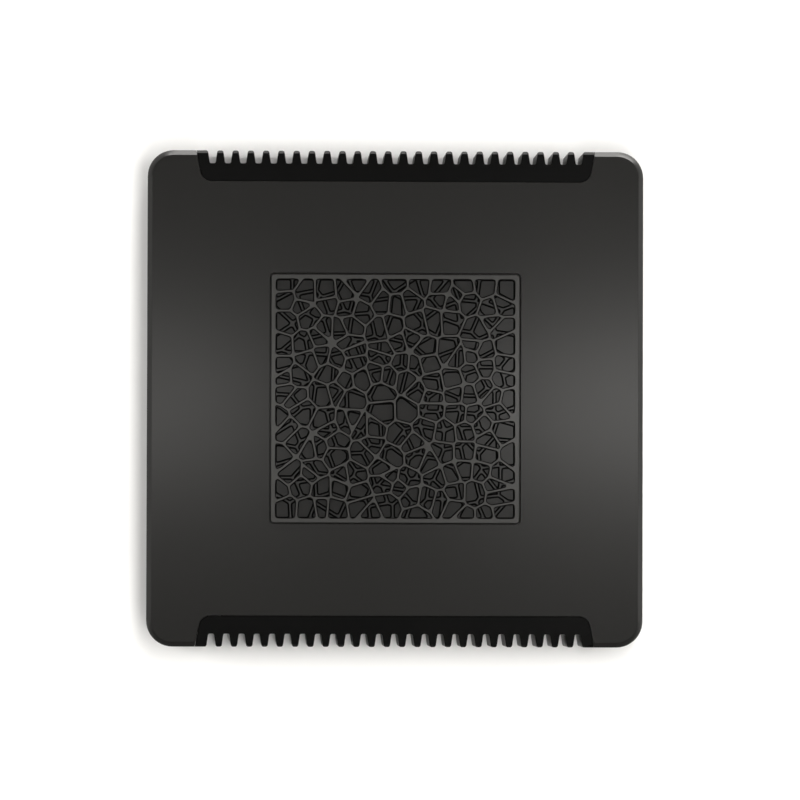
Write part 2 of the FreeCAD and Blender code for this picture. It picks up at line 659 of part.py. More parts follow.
def make_antennas():
    """Four bent-strip antennas: a raised arm on a feed leg and a ground leg."""
    add_sizes("Antennas", strip_thick=0.4, arm_length=30, arm_width=8, arm_height=10, leg_width=2.5,
              side_antenna_x=-82, side_antenna_y=50, end_antenna_x=62, end_antenna_y=70)
    places = {"rear_left": ("side_antenna_x", "side_antenna_y", False),
              "front_left": ("side_antenna_x", "-side_antenna_y", False),
              "rear_right": ("end_antenna_x", "end_antenna_y", True),
              "front_right": ("end_antenna_x", "-end_antenna_y", True)}
    for name, (x, y, along_x) in places.items():
        part = name + "_antenna"
        arm_sizes = ("arm_length", "arm_width") if along_x else ("arm_width", "arm_length")
        arm = block(part + "_arm", x, y, f"{BOARD_TOP} + arm_height - strip_thick", *arm_sizes,
                    "strip_thick")
        legs = []
        for index, place in enumerate(("arm_length / 2 - strip_thick / 2", "arm_length / 4")):
            leg_x = f"{x} - ({place})" if along_x else x
            leg_y = y if along_x else f"{y} - ({place})"
            leg_sizes = ("strip_thick", "leg_width") if along_x else ("leg_width", "strip_thick")
            legs.append(block(f"{part}_leg_{index}", leg_x, leg_y, BOARD_TOP, *leg_sizes,
                              "arm_height"))
        keep(joined(part, arm, *legs))


def make_power_parts():
    """Coils, capacitors and line transformers between the sockets and the cans."""
    add_sizes("Power parts", coil_side=8, coil_height=4.2, coil_x=66, coil_y=-46, coil_pitch=11,
              can_radius=4, can_tall=11, capacitor_x=77, capacitor_y=-57, capacitor_pitch=8.8,
              line_x=62, line_y=-1, line_pitch=19, line_length=9, line_width=16, line_tall=6)
    keep(group("power_coils", [block(f"coil_{index + 1}", "coil_x",
                                     f"coil_y + {index} * coil_pitch", BOARD_TOP, "coil_side",
                                     "coil_side", "coil_height") for index in (-1, 0, 1)]))
    keep(group("bulk_capacitors", [upright(f"capacitor_{index}", "capacitor_x",
                                           f"capacitor_y + ({index} - 0.5) * capacitor_pitch",
                                           BOARD_TOP, "can_radius", "can_tall")
                                   for index in (0, 1)]))
    keep(group("line_transformers", [block(f"transformer_{index + 1}", "line_x",
                                           f"line_y + {index} * line_pitch", BOARD_TOP,
                                           "line_length", "line_width", "line_tall")
                                     for index in (-1, 0, 1)]))


# ---------------------------------------------------------------- socket side

def make_jacks():
    """Four shielded network jacks with a stepped cavity, their contacts and their lamps."""
    add_sizes("Jacks", face_x=98.2, jack_wide=16, jack_tall=13.4, jack_deep=21, cavity_wide=11.9,
              cavity_tall=8.4, cavity_deep=14.5, cavity_low=3.2, latch_wide=6.2, latch_tall=1.6,
              wire_wide=0.4, wire_thick=0.35, wire_pitch=1.02, wire_run=10, wire_slope=14,
              wire_seat=0.3, wire_drop=0.6, wan_y=-40, lan_first=-19, lan_pitch=17,
              jack_lamp_y=5.6, jack_lamp_drop=1.7, jack_lamp_thick=0.2, jack_lamp_wide=2.8,
              jack_lamp_tall=1.3)
    rows = {"wan_jack": "wan_y", "lan_jack_1": "lan_first", "lan_jack_2": "lan_first + lan_pitch",
            "lan_jack_3": "lan_first + 2 * lan_pitch"}
    wires = []
    lamps = []
    for name, y in rows.items():
        shell = block(name + "_shell", "face_x - jack_deep / 2", y, BOARD_TOP, "jack_deep",
                      "jack_wide", "jack_tall")
        cavity = block(name + "_cavity", "face_x - cavity_deep / 2", y,
                       f"{BOARD_TOP} + cavity_low", "cavity_deep", "cavity_wide", "cavity_tall")
        latch = block(name + "_latch", "face_x - cavity_deep / 2", y,
                      f"{BOARD_TOP} + cavity_low - latch_tall", "cavity_deep", "latch_wide",
                      "latch_tall")
        keep(less(name, shell, joined(name + "_hollow", cavity, latch)))
        for index in range(8):
            wires.append(wire(f"{name}_wire_{index}", f"({y}) + {index - 3.5} * wire_pitch"))
        for index, sign in enumerate(("-", "+")):
            lamps.append(block(f"{name}_lamp_{index}", "face_x + jack_lamp_thick / 2",
                               f"({y}) {sign} jack_lamp_y",
                               f"{BOARD_TOP} + jack_tall - jack_lamp_drop", "jack_lamp_thick",
                               "jack_lamp_wide", "jack_lamp_tall"))
    keep(group("jack_contacts", wires))
    keep(group("jack_lamps", lamps))


def wire(name, y):
    """Sprung contact that slopes down towards the mouth of a jack."""
    item = doc.addObject("Part::Box", name)
    slope = FreeCAD.Rotation(Vector(0, 1, 0), value_of("wire_slope"))
    item.Placement = FreeCAD.Placement(Vector(), slope)
    bind(item, Length="wire_run", Width="wire_wide", Height="wire_thick")
    bind(item, Placement__Base__x="face_x - cavity_deep + wire_seat")
    bind(item, Placement__Base__y=f"({y}) - wire_wide / 2")
    bind(item, Placement__Base__z=f"{BOARD_TOP} + cavity_low + cavity_tall - wire_drop")
    return item


def make_usb_port():
    """Socket with a sheet shell and a plastic tongue."""
    add_sizes("Data port", port_y=33, port_wide=13.2, port_tall=7, port_deep=14, port_wall=0.4,
              port_back=1, tongue_tall=1.9, tongue_drop=0.5, tongue_short=2, tongue_slim=1)
    shell = block("usb_blank", "face_x - port_deep / 2", "port_y", BOARD_TOP, "port_deep",
                  "port_wide", "port_tall")
    room = block("usb_room", "face_x - port_deep / 2 + port_back", "port_y", f"{BOARD_TOP} + port_wall",
                 "port_deep", "port_wide - 2 * port_wall", "port_tall - 2 * port_wall")
    keep(less("usb_port_shell", shell, room))
    keep(block("usb_port_tongue", "face_x - port_deep / 2", "port_y",
               f"{BOARD_TOP} + port_tall - port_wall - tongue_tall - tongue_drop",
               "port_deep - tongue_short", "port_wide - 2 * port_wall - tongue_slim",
               "tongue_tall"))


def make_dc_jack():
    """Barrel inlet with its centre pin."""
    add_sizes("Power inlet", inlet_y=-62, inlet_wide=9.2, inlet_tall=11, inlet_deep=14,
              inlet_bore=3.1, inlet_hole_deep=9.5, inlet_rise=5.5, pin_radius=1,
              pin_inset=1)
    z = f"{BOARD_TOP} + inlet_rise"
    blank = block("inlet_blank", "face_x - inlet_deep / 2", "inlet_y", BOARD_TOP, "inlet_deep",
                  "inlet_wide", "inlet_tall")
    bore = level("inlet_hole", "face_x - inlet_hole_deep", "inlet_y", z, "inlet_bore",
                 "inlet_hole_deep + overcut")
    keep(less("dc_jack_housing", blank, bore))
    keep(level("dc_jack_pin", "face_x - inlet_hole_deep", "inlet_y", z, "pin_radius",
               "inlet_hole_deep - pin_inset"))


def make_power_button():
    """Square cap on a stem that slides in its switch, behind the panel's square hole."""
    add_sizes("Power button", power_y=62, power_z=18.5, cap_side=8, cap_front=99.2,
              flange_front=95.5, flange_side=10.4, flange_back=93, stem_radius=1.6,
              stem_end=85.5, switch_front=90, switch_deep=11, switch_wide=11, switch_tall=13,
              stem_gap=0.15, stem_travel=2)
    cap = block("power_cap", "(cap_front + flange_back) / 2", "power_y", "power_z - cap_side / 2",
                "cap_front - flange_back", "cap_side", "cap_side")
    flange = block("power_flange", "(flange_front + flange_back) / 2", "power_y",
                   "power_z - flange_side / 2", "flange_front - flange_back", "flange_side",
                   "flange_side")
    stem = level("power_stem", "stem_end", "power_y", "power_z", "stem_radius",
                 "flange_back - stem_end + overcut")
    keep(joined("power_button", cap, flange, stem))
    blank = block("power_switch_blank", "switch_front - switch_deep / 2", "power_y", BOARD_TOP,
                  "switch_deep", "switch_wide", "switch_tall")
    hole = level("power_switch_hole", "stem_end - stem_travel", "power_y", "power_z",
                 "stem_radius + stem_gap", "switch_front - stem_end + stem_travel + overcut")
    keep(less("power_switch_body", blank, hole))


def make_reset_switch():
    """Recessed switch behind a pinhole."""
    add_sizes("Reset", reset_y=46, reset_rise=3, reset_wide=6, reset_front=92.5,
              plunger_radius=1.1, plunger_front=94.6, plunger_end=90.5, plunger_travel=1,
              pinhole=1, pinhole_run=8)
    z = f"{BOARD_TOP} + reset_rise"
    blank = block("reset_blank", "reset_front - reset_wide / 2", "reset_y", BOARD_TOP,
                  "reset_wide", "reset_wide", "reset_wide")
    hole = level("reset_hole", "plunger_end - plunger_travel", "reset_y", z,
                 "plunger_radius + recess_gap",
                 "reset_front - plunger_end + plunger_travel + overcut")
    keep(less("reset_switch_body", blank, hole))
    keep(level("reset_plunger", "plunger_end", "reset_y", z, "plunger_radius",
               "plunger_front - plunger_end"))


def make_io_panel():
    """Thin plate behind the opening of the cover, pierced for each socket and control."""
    add_sizes("Panel", panel_top=34, panel_thick=1.7, panel_gap=0.2, panel_fit=0.2)
    middle = "case_side / 2 - wall - panel_gap - panel_thick / 2"
    blank = block("panel_blank", middle, "0", "skirt_bottom", "panel_thick", "2 * panel_half",
                  "panel_top - skirt_bottom")
    windows = (("wan", "wan_y", "jack_wide", BOARD_TOP, "jack_tall"),
               ("lan_1", "lan_first", "jack_wide", BOARD_TOP, "jack_tall"),
               ("lan_2", "lan_first + lan_pitch", "jack_wide", BOARD_TOP, "jack_tall"),
               ("lan_3", "lan_first + 2 * lan_pitch", "jack_wide", BOARD_TOP, "jack_tall"),
               ("usb", "port_y", "port_wide", BOARD_TOP, "port_tall"),
               ("inlet", "inlet_y", "inlet_wide", BOARD_TOP, "inlet_tall"),
               ("power", "power_y", "cap_side", "power_z - cap_side / 2", "cap_side"))
    tools = [block(f"window_{name}", middle, y, f"({z}) - panel_fit", "panel_thick + 2 * overcut",
                   f"{wide} + 2 * panel_fit", f"{tall} + 2 * panel_fit")
             for name, y, wide, z, tall in windows]
    tools.append(level("window_reset", "case_side / 2 - pinhole_run", "reset_y",
                       f"{BOARD_TOP} + reset_rise", "pinhole", "pinhole_run"))
    keep(less("io_panel", blank, *tools))


# ---------------------------------------------------------------- left side

def make_pair_button():
    """Round button that slides in the cover, over its right-angle switch."""
    add_sizes("Pairing button", pair_radius=4, pair_face=99.6, pair_flange=5.4,
              pair_flange_out=97.4, pair_flange_in=96, pair_stem=1.8, pair_stem_end=92.4,
              pair_switch_face=91, pair_switch_deep=6, pair_switch_wide=7, pair_switch_tall=12,
              nub_length=0.6, nub_radius=1.7)
    cap = level("pair_cap", "-pair_face", "pair_y", "side_z", "pair_radius",
                "pair_face - pair_flange_in")
    flange = level("pair_flange_disc", "-pair_flange_out", "pair_y", "side_z", "pair_flange",
                   "pair_flange_out - pair_flange_in")
    stem = level("pair_stem_bar", "-pair_flange_in - overcut", "pair_y", "side_z", "pair_stem",
                 "pair_flange_in - pair_stem_end + overcut")
    keep(joined("pair_button", cap, flange, stem))
    box = block("pair_switch_box", "pair_switch_deep / 2 - pair_switch_face", "pair_y", BOARD_TOP,
                "pair_switch_deep", "pair_switch_wide", "pair_switch_tall")
    nub = level("pair_switch_nub", "-pair_switch_face - nub_length", "pair_y", "side_z",
                "nub_radius", "nub_length + overcut")
    keep(joined("pair_switch_body", box, nub))


def make_status_light():
    """Board lamp and the clear rod that carries its light to the outside."""
    add_sizes("Status light", pipe_face=99.7, lamp_face=91, lamp_side=3.6, lamp_tall=9.9)
    keep(block("status_led", "lamp_side / 2 - lamp_face", "pipe_y", BOARD_TOP, "lamp_side",
               "lamp_side", "lamp_tall"))
    keep(level("status_light_pipe", "-pipe_face", "pipe_y", "side_z", "pipe_radius",
               "pipe_face - lamp_face"))


# ---------------------------------------------------------------- build, check and write

def check_all():
    """Stop at any object that failed and any finished sub-part without a sound shape."""
    doc.recompute()
    for item in doc.Objects:
        if "Invalid" in item.State or "Error" in item.State:
            raise RuntimeError(f"{item.Name} failed: {item.State}")
    for item in nodes:
        if item.Shape.isNull() or not item.Shape.isValid():
            raise RuntimeError(f"{item.Label} has no sound shape")


def write_all():
    os.makedirs("parts", exist_ok=True)
    for item in nodes:
        item.Shape.exportStep(f"parts/{item.Label}.step")
        print(item.Label, len(item.Shape.Solids), round(item.Shape.Volume, 1))


make_top_cover()
make_base_tray()
make_heatsinks()
make_feet()
make_rating_label()
make_lattice()
make_main_board()
make_chips()
make_heat_spreader()
make_screws()
make_antennas()
make_power_parts()
make_jacks()
make_usb_port()
make_dc_jack()
make_power_button()
make_reset_switch()
make_io_panel()
make_pair_button()
make_status_light()
check_all()
write_all()
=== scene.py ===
import math
import random

import bmesh
import bpy
from mathutils import Matrix, Vector
from mathutils.geometry import tessellate_polygon


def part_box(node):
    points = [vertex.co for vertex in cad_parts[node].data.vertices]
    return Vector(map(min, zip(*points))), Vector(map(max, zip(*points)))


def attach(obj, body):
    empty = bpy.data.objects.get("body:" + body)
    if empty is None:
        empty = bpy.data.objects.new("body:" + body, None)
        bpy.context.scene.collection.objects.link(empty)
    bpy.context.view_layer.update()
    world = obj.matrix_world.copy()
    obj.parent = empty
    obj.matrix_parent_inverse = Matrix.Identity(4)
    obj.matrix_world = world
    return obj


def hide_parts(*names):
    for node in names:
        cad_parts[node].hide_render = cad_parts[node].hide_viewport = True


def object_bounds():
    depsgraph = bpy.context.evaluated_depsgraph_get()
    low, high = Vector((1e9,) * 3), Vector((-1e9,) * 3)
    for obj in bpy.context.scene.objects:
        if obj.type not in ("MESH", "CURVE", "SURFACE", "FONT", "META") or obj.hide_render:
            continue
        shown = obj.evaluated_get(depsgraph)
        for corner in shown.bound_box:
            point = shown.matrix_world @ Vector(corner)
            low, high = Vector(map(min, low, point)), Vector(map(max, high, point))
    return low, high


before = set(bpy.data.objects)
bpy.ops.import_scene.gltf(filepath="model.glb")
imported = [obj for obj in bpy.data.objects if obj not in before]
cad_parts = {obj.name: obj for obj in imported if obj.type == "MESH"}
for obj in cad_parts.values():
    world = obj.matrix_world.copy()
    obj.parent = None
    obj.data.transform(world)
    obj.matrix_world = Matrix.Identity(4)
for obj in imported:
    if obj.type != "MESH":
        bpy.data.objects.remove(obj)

scene = bpy.context.scene
cad_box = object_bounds()

# ------------------------------------------------------------------ base tray
# The tray is the lower half of the case, injection moulded in black ABS with a fine spark
# finish. Vent slots, keyholes and screw recesses are moulded in, and the lid sits over its lip.


class Signal:
    """A shader value. Arithmetic on it adds Math nodes; any other node comes from add."""

    def __init__(self, tree, socket=None):
        self.tree = tree
        self.socket = socket

    def add(self, kind, settings, sockets, output=0):
        """A new node: its settings first, then the number or the link of each socket."""
        node = self.tree.nodes.new("ShaderNode" + kind)
        for name, value in settings.items():
            setattr(node, name, value)
        for name, value in sockets.items():
            if isinstance(value, Signal):
                self.tree.links.new(value.socket, node.inputs[name])
            else:
                node.inputs[name].default_value = value
        return Signal(self.tree, node.outputs[output] if node.outputs else None)

    def combine(self, operation, *values):
        """A Math node on one or two values."""
        return self.add("Math", {"operation": operation}, dict(enumerate(values)))

    def __add__(self, other):
        return self.combine("ADD", self, other)

    def __sub__(self, other):
        return self.combine("SUBTRACT", self, other)

    def __rsub__(self, other):
        return self.combine("SUBTRACT", other, self)

    def __mul__(self, other):
        return self.combine("MULTIPLY", self, other)

    def __gt__(self, other):
        return self.combine("GREATER_THAN", self, other)

    def __lt__(self, other):
        return self.combine("LESS_THAN", self, other)

    def __or__(self, other):
        return self.combine("MAXIMUM", self, other)

    def __abs__(self):
        return self.combine("ABSOLUTE", self)

    __radd__ = __add__


def start_finish(name):
    """An empty material: gives it and a Signal on its node tree."""
    material = bpy.data.materials.new(name)
    material.use_nodes = True
    material.node_tree.nodes.clear()
    return material, Signal(material.node_tree)


def close_finish(paint, **sockets):
    """Principled shader and output. Names use an underscore for each space."""
    named = {name.replace("_", " "): value for name, value in sockets.items()}
    shader = paint.add("BsdfPrincipled", {}, named)
    paint.add("OutputMaterial", {}, {"Surface": shader})


def noise(paint, scale, detail, stretch=(1, 1, 1)):
    """Even noise through the piece, finer as scale grows."""
    place = paint.add("TexCoord", {}, {}, "Object")
    place = paint.add("Mapping", {}, {"Vector": place, "Scale": stretch})
    return paint.add("TexNoise", {}, {"Vector": place, "Scale": scale, "Detail": detail})


def tone(paint, mask, dark, light):
    """Colour that runs from dark to light as the mask rises."""
    return paint.add("Mix", {"data_type": "RGBA"},
                     {0: mask, 6: (*dark, 1), 7: (*light, 1)}, 2)


def sway(signal, width):
    """A signal from 0 to 1 turned into one that swings about zero, this far in all."""
    return (signal - 0.5) * width


def shade(colour, factor):
    """The colour made darker or lighter by a factor."""
    return tuple(channel * factor for channel in colour)


def relief(paint, height, depth):
    """Surface normal raised by a height signal, up to a depth in metres."""
    return paint.add("Bump", {}, {"Height": height, "Distance": depth, "Strength": 1})


def moulded(name, colour, roughness, grain=2500, depth=0.000006, variation=0.05, coat=0.0):
    """Moulded plastic: faint flow mottling, a fine even texture and a slightly uneven gloss."""
    material, paint = start_finish(name)
    flow = noise(paint, 14, 3)
    fine = noise(paint, grain, 2)
    close_finish(paint,
                 Base_Color=tone(paint, flow, shade(colour, 1 - variation),
                                 shade(colour, 1 + variation)),
                 Roughness=roughness + sway(flow, 0.05) + sway(fine, 0.06),
                 Coat_Weight=coat,
                 Normal=relief(paint, fine, depth))
    return material


def dress(material, *names, edge, segments=2):
    """Give CAD pieces their finish, and ease their sharp edges by a small radius, or by none."""
    for name in names:
        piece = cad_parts[name]
        piece.data.materials.clear()
        piece.data.materials.append(material)
        if edge:
            ease(piece, edge, segments)


def ease(piece, radius, segments):
    """Weld and flatten the mesh, then round its sharp edges."""
    weld = piece.modifiers.new("weld", "WELD")
    weld.merge_threshold = 0.000001
    flatten = piece.modifiers.new("flatten", "DECIMATE")
    flatten.decimate_type = "DISSOLVE"
    flatten.angle_limit = math.radians(0.3)
    bevel = piece.modifiers.new("ease", "BEVEL")
    bevel.width = radius
    bevel.segments = segments
    bevel.limit_method = "ANGLE"
    bevel.angle_limit = math.radians(30)
    bevel.harden_normals = True


dress(moulded("tray_abs", (0.018, 0.018, 0.0185), 0.48, grain=1400, depth=0.00002),
      "base_tray", edge=0.0002)

# ------------------------------------------------------------------ feet and label
# Four die-cut rubber discs stuck into shallow recesses of the tray, and a blank silver
# film label between the vent rows.


def rubbery(name, colour, roughness):
    """Rubber: dull, slightly dusty, with a soft pitted texture."""
    material, paint = start_finish(name)
    dust = noise(paint, 60, 4)
    pits = noise(paint, 1800, 3)
    close_finish(paint, Base_Color=tone(paint, dust, shade(colour, 0.8), shade(colour, 1.5)),
                 Roughness=roughness + sway(dust, 0.12),
                 Normal=relief(paint, pits, 0.00003))
    return material


foot_places = ("rear_right", "front_right", "rear_left", "front_left")
dress(rubbery("foot_rubber", (0.014, 0.014, 0.014), 0.78),
      *[place + "_foot" for place in foot_places], edge=0.0002)


def measured(paint, axis):
    """A surface point's own x, y or z, for an axis of 0, 1 or 2."""
    place = paint.add("TexCoord", {}, {}, "Object")
    return paint.add("SeparateXYZ", {}, {"Vector": place}, axis)


def covered(paint, mask, below, above):
    """A varying colour with a flat one over it wherever the mask is 1."""
    return paint.add("Mix", {"data_type": "RGBA"}, {0: mask, 6: below, 7: (*above, 1)}, 2)


def label_film():
    """Silver film with a faint brushed streak and a thin darker printed border."""
    material, paint = start_finish("label_film")
    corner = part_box("rating_label")[1]
    margin = 0.0012
    line = 0.0003
    side_x = abs(measured(paint, 0))
    side_y = abs(measured(paint, 1))
    outside = (side_x > corner.x - margin) | (side_y > corner.y - margin)
    beyond = (side_x > corner.x - margin + line) | (side_y > corner.y - margin + line)
    streak = noise(paint, 900, 2, (0.05, 1, 1))
    film = tone(paint, streak, (0.42, 0.42, 0.43), (0.52, 0.52, 0.53))
    close_finish(paint, Base_Color=covered(paint, outside - beyond, film, (0.08, 0.08, 0.08)),
                 Metallic=0.6, Roughness=0.3 + streak * 0.15)
    return material


dress(label_film(), "rating_label", edge=0)

# ------------------------------------------------------------------ screws
# Zinc-plated steel: pan heads hold the lid, the board and the heat spreader, and flat heads
# hold the heatsinks from below. The drive recesses are punched.


def plated(name, colour, roughness, streak=(1, 1, 1)):
    """Bare or plated metal: a clean tone with faint handling stains and drawing marks."""
    material, paint = start_finish(name)
    cloud = noise(paint, 45, 4)
    lines = noise(paint, 1500, 2, streak)
    close_finish(paint,
                 Base_Color=tone(paint, cloud, shade(colour, 0.88), colour),
                 Metallic=1,
                 Roughness=roughness + sway(cloud, 0.14) + sway(lines, 0.1),
                 Normal=relief(paint, lines, 0.000004))
    return material


dress(plated("screw_zinc", (0.32, 0.32, 0.33), 0.34), "cover_screws", "heatsink_screws",
      "board_screws", "spreader_screws", edge=0.0001)

# ------------------------------------------------------------------ main board
# A four-layer glass-fibre board under dark green solder mask, held on the tray's posts.
# Copper runs and plated vias show faintly through the mask.


def solder_mask():
    """Green mask with copper runs on a coarse grid and a scatter of vias."""
    material, paint = start_finish("solder_mask")
    place = paint.add("TexCoord", {}, {}, "Object")
    runs = paint.add("TexBrick", {"offset": 0.37, "squash": 0.6, "squash_frequency": 3},
                     {"Vector": place, "Color1": (0, 0, 0, 1), "Color2": (0, 0, 0, 1),
                      "Mortar": (1, 1, 1, 1), "Scale": 260, "Mortar Size": 0.11}, "Fac")
    copper = runs * (noise(paint, 70, 1) > 0.5)
    spots = paint.add("TexVoronoi", {}, {"Vector": place, "Scale": 380}, "Distance")
    vias = (spots < 0.12) * (noise(paint, 110, 1) > 0.54)
    mask = tone(paint, copper, (0.006, 0.045, 0.018), (0.016, 0.095, 0.038))
    close_finish(paint, Base_Color=covered(paint, vias, mask, (0.55, 0.5, 0.36)),
                 Metallic=vias, Roughness=0.28 + copper * 0.08,
                 Normal=relief(paint, copper + vias, 0.00003))
    return material


dress(solder_mask(), "main_board", edge=0)

# ------------------------------------------------------------------ chips, cans and cooling
# Resin-moulded chips sit under pressed tinplate cans. Soft blue silicone pads carry the heat
# to a sawn aluminium plate, which is screwed to the ledges of both heatsinks.

dress(moulded("chip_resin", (0.016, 0.016, 0.017), 0.55, grain=3500, depth=0.00001),
      "processor_chip", "memory_chips", "radio_chips", edge=0.00008)
dress(plated("can_tinplate", (0.62, 0.61, 0.58), 0.3, streak=(0.1, 1, 1)), "processor_can",
      "rear_radio_can", "front_radio_can", "third_radio_can", edge=0.0002)
dress(rubbery("pad_silicone", (0.12, 0.2, 0.3), 0.62), "thermal_pads", edge=0.0002)
dress(plated("spreader_aluminium", (0.74, 0.74, 0.75), 0.36, streak=(0.03, 1, 1)),
      "heat_spreader", edge=0.0003)

# ------------------------------------------------------------------ antennas
# Four antennas, each one stamped and bent from tinned brass strip and soldered to the board
# by its feed leg and its ground leg.

dress(plated("antenna_brass", (0.6, 0.52, 0.34), 0.33, streak=(1, 0.08, 1)),
      *[place + "_antenna" for place in foot_places], edge=0.00008)

# ------------------------------------------------------------------ coils, capacitors, transformers
# Ferrite power coils and resin-potted line transformers, with two aluminium electrolytic
# capacitors in shrink sleeves beside the power inlet.

dress(moulded("ferrite", (0.045, 0.045, 0.048), 0.6, grain=2200, depth=0.00003),
      "power_coils", edge=0.0004)
dress(moulded("potting_resin", (0.012, 0.012, 0.013), 0.35), "line_transformers", edge=0.0003)


def shrink_sleeve():
    """Dark blue sleeve with one pale stripe down the side and a bare metal top."""
    material, paint = start_finish("shrink_sleeve")
    low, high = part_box("bulk_capacitors")
    stripe_width = 0.12 * (high.x - low.x)
    rim = 0.0002
    stripe = measured(paint, 0) > high.x - stripe_width
    top = measured(paint, 2) > high.z - rim
    sleeve = tone(paint, stripe, (0.012, 0.016, 0.05), (0.5, 0.52, 0.55))
    close_finish(paint, Base_Color=covered(paint, top, sleeve, (0.7, 0.7, 0.72)),
                 Metallic=top, Roughness=0.3 + noise(paint, 90, 3) * 0.1)
    return material


dress(shrink_sleeve(), "bulk_capacitors", edge=0.0004)

# ------------------------------------------------------------------ network jacks
# Four network jacks in folded, nickel-plated shields round moulded nylon. Eight gold-flashed
# spring contacts slope down in each cavity, and two lamps sit in the upper corners.


def facing(paint, axis):
    """How squarely a face looks along x, y or z: 1 when it looks straight along the axis."""
    normal = paint.add("NewGeometry", {}, {}, "True Normal")
    return paint.add("SeparateXYZ", {}, {"Vector": normal}, axis)


def jack_shield():
    """Plated shield, with black nylon on faces that look out from deep in the cavity."""
    material, paint = start_finish("jack_shield")
    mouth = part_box("wan_jack")[1].x
    lip = 0.004
    inner = (facing(paint, 0) > 0.5) * (measured(paint, 0) < mouth - lip)
    scratch = noise(paint, 900, 3, (1, 0.1, 1))
    metal = tone(paint, scratch, (0.42, 0.42, 0.41), (0.56, 0.56, 0.54))
    close_finish(paint, Base_Color=covered(paint, inner, metal, (0.015, 0.015, 0.016)),
                 Metallic=1 - inner, Roughness=0.3 + scratch * 0.12)
    return material


jacks = ("wan_jack", "lan_jack_1", "lan_jack_2", "lan_jack_3")
dress(jack_shield(), *jacks, edge=0.00025, segments=3)
dress(plated("contact_gold", (0.83, 0.6, 0.24), 0.2), "jack_contacts", edge=0)
dress(moulded("lamp_lens", (0.1, 0.22, 0.06), 0.2, coat=0.6), "jack_lamps", edge=0)

# ------------------------------------------------------------------ data port and power inlet
# A type A socket folded from plated sheet round a nylon tongue, and a barrel inlet moulded
# in nylon round a nickel-plated pin. Both are soldered to the board.

dress(plated("port_nickel", (0.55, 0.55, 0.53), 0.26, streak=(0.1, 1, 1)), "usb_port_shell",
      edge=0.0001)
nylon = moulded("black_nylon", (0.013, 0.013, 0.0135), 0.42)
dress(nylon, "usb_port_tongue", "dc_jack_housing", edge=0.00025)
dress(plated("pin_nickel", (0.75, 0.74, 0.7), 0.16), "dc_jack_pin", edge=0.0002)

# ------------------------------------------------------------------ buttons
# Three pressed controls: the square power button on the socket side, the round pairing button
# on the left and the reset plunger behind its pinhole. All are moulded in black ABS, and each
# works a nylon-bodied switch on the board.

dress(moulded("button_abs", (0.02, 0.02, 0.0205), 0.36), "power_button", "pair_button",
      "reset_plunger", edge=0.0004, segments=3)
dress(nylon, "power_switch_body", "reset_switch_body", "pair_switch_body", edge=0.00025)

# ------------------------------------------------------------------ status light
# A white resin lamp on the board shines into a rod of clear acrylic. The rod runs through a
# hole in the left wall, and its end stops just inside the outer face.

dress(moulded("lamp_resin", (0.7, 0.7, 0.66), 0.3), "status_led", edge=0.0002)


def clear_acrylic():
    """Clear rod with a faint cool tint."""
    material, paint = start_finish("clear_acrylic")
    haze = noise(paint, 700, 2)
    shader = paint.add("BsdfPrincipled", {},
                       {"Base Color": (0.86, 0.93, 0.95, 1), "IOR": 1.49,
                        "Transmission Weight": 0.9, "Roughness": 0.08 + haze * 0.08})
    paint.add("OutputMaterial", {}, {"Surface": shader})
    return material


dress(clear_acrylic(), "status_light_pipe", edge=0.0002)

# ------------------------------------------------------------------ socket panel
# A thin plate moulded in black ABS, with square windows for the sockets. It has no fastener
# of its own: the tray and the lid trap it between them.

dress(moulded("panel_abs", (0.012, 0.012, 0.0125), 0.4, grain=1800, depth=0.00001), "io_panel",
      edge=0.0001)

# ------------------------------------------------------------------ heatsinks
# Two die-cast aluminium combs, blasted and anodised black. Each closes one end of the case,
# and its fins run the full height.


def anodised():
    """Black anodised casting: dense black with a dry, very fine blasted grain."""
    material, paint = start_finish("black_anodised")
    grain = noise(paint, 5200, 2)
    cloud = noise(paint, 30, 4)
    close_finish(paint, Base_Color=tone(paint, cloud, (0.0009, 0.0009, 0.0009),
                                        (0.0016, 0.0016, 0.0015)),
                 Roughness=0.4 + sway(cloud, 0.1) + sway(grain, 0.08),
                 Specular_IOR_Level=0.25,
                 Normal=relief(paint, grain, 0.00001))
    return material


dress(anodised(), "rear_heatsink", "front_heatsink", edge=0.0003, segments=3)

# ------------------------------------------------------------------ lid
# The lid is one moulding in charcoal ABS with a smooth satin face, bevelled all round its top
# edge. It drops over both heatsinks and is screwed from below at its corners.

lid_satin = moulded("lid_satin", (0.0096, 0.0093, 0.0088), 0.32, grain=3000, depth=0.000002,
                    variation=0.04)
dress(lid_satin, "top_cover", edge=0.00025, segments=3)

# ------------------------------------------------------------------ lattice
# The inset is two satin black mouldings, stacked in the lid's well on a sheet of foam tape: a
# plate with a fine net of ribs, and over it a square frame with a coarser open net. Every
# opening has rounded corners.

# The plan of the nets is in millimetres. A length times mm is in metres.
mm = 0.001
grille_low, grille_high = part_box("lattice_grille")
plate_low, plate_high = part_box("lattice_backplate")
insert_side = (grille_high.x - grille_low.x) / mm
insert_rounding = 1.5
frame_width = 1.7
net_half = insert_side / 2 - frame_width
plate_floor = plate_low.z + 1.2 * mm
cells_across = 13
large_cells = [(-5.0, -5.2), (4.9, -5.0)]
merge_gap = 0.0005 * mm


def clipped(corners, normal, limit):
    """The part of a convex outline whose distance along a unit normal stays within a limit."""
    result = []
    for index, corner in enumerate(corners):
        following = corners[(index + 1) % len(corners)]
        depth = corner[0] * normal[0] + corner[1] * normal[1] - limit
        next_depth = following[0] * normal[0] + following[1] * normal[1] - limit
        if depth <= 0:
            result.append(corner)
        if (depth < 0) != (next_depth < 0) and depth != next_depth:
            share = depth / (depth - next_depth)
            result.append((corner[0] + (following[0] - corner[0]) * share,
                           corner[1] + (following[1] - corner[1]) * share))
    return result


